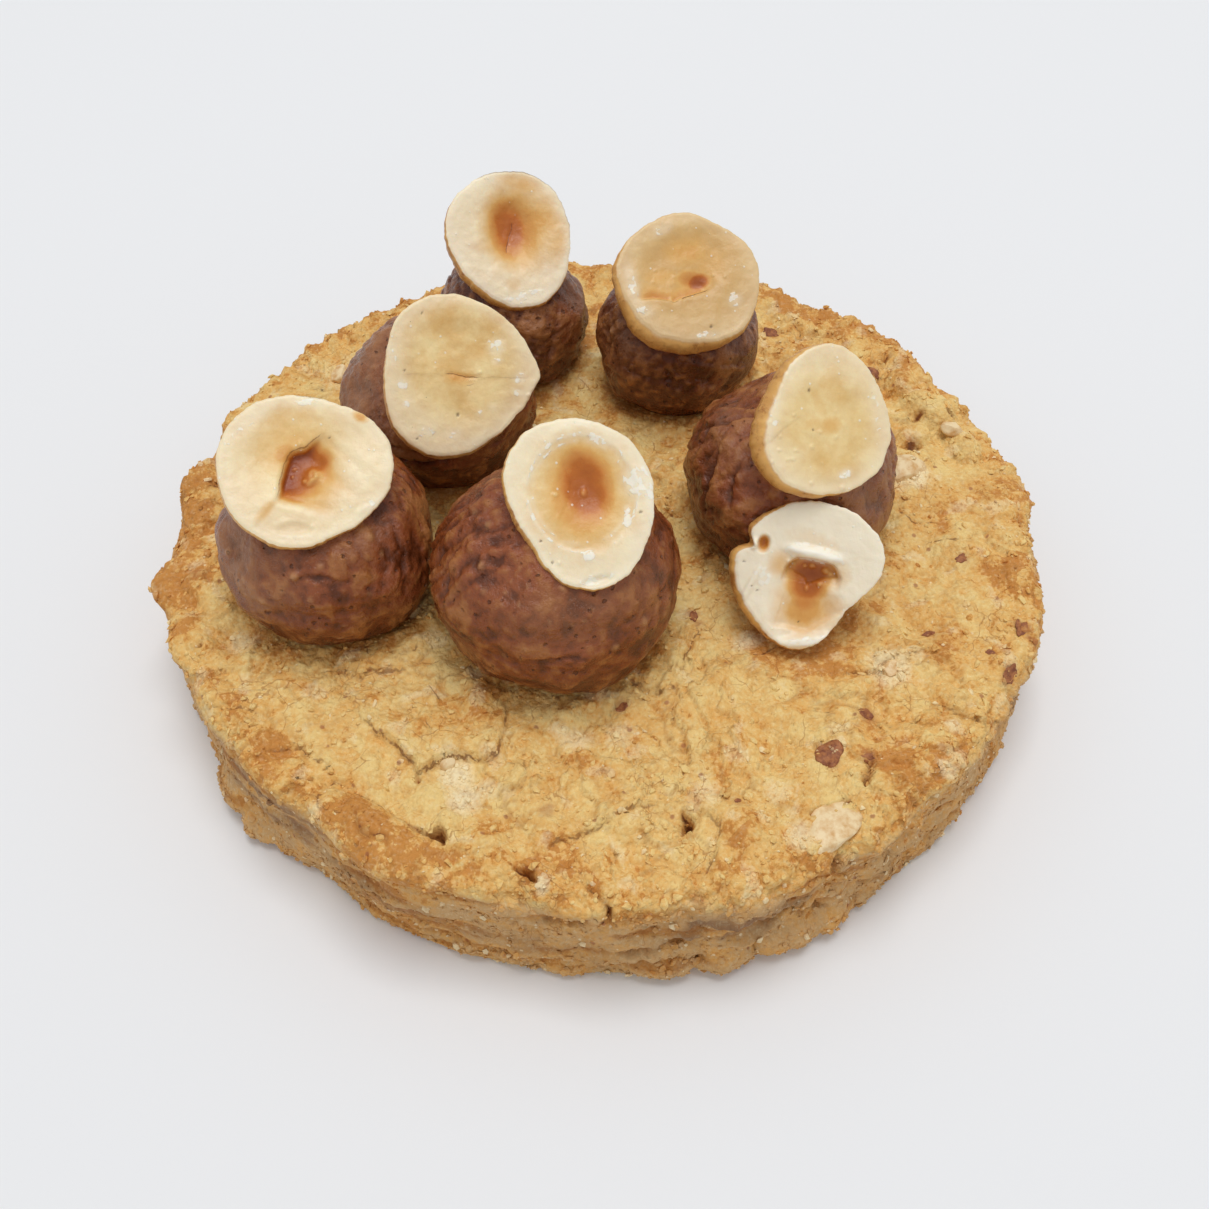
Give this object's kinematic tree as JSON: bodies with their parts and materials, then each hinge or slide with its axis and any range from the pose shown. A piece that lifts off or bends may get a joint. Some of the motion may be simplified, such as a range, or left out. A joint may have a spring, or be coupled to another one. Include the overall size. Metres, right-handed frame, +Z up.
{
  "type": "hazelnut praline cookie",
  "caption": "Thick round shortbread cookie with crumbly cracked top, topped with soft praline balls that each carry a halved hazelnut.",
  "frame": {"origin": "centre of the bounding box at the flat underside of the biscuit", "axes": "+Z up, through the biscuit's thickness; +Y away from the viewer of the picture; +X to the viewer's right"},
  "size_m": [0.092, 0.0916, 0.0366],
  "materials": {
    "shortbread": "baked shortbread, dry and crumbly",
    "praline": "soft hazelnut praline paste, satin",
    "hazelnut": "blanched hazelnut kernel, cut face"
  },
  "bodies": {
    "root": {"biscuit": "shortbread", "praline_back_left": "praline", "praline_back_right": "praline", "praline_mid_left": "praline", "praline_left": "praline", "praline_front": "praline", "praline_right": "praline", "hazelnut_back_left": "hazelnut", "hazelnut_back_right": "hazelnut", "hazelnut_mid_left": "hazelnut", "hazelnut_left": "hazelnut", "hazelnut_front": "hazelnut", "hazelnut_right": "hazelnut", "hazelnut_loose": "hazelnut"}
  },
  "joints": []
}
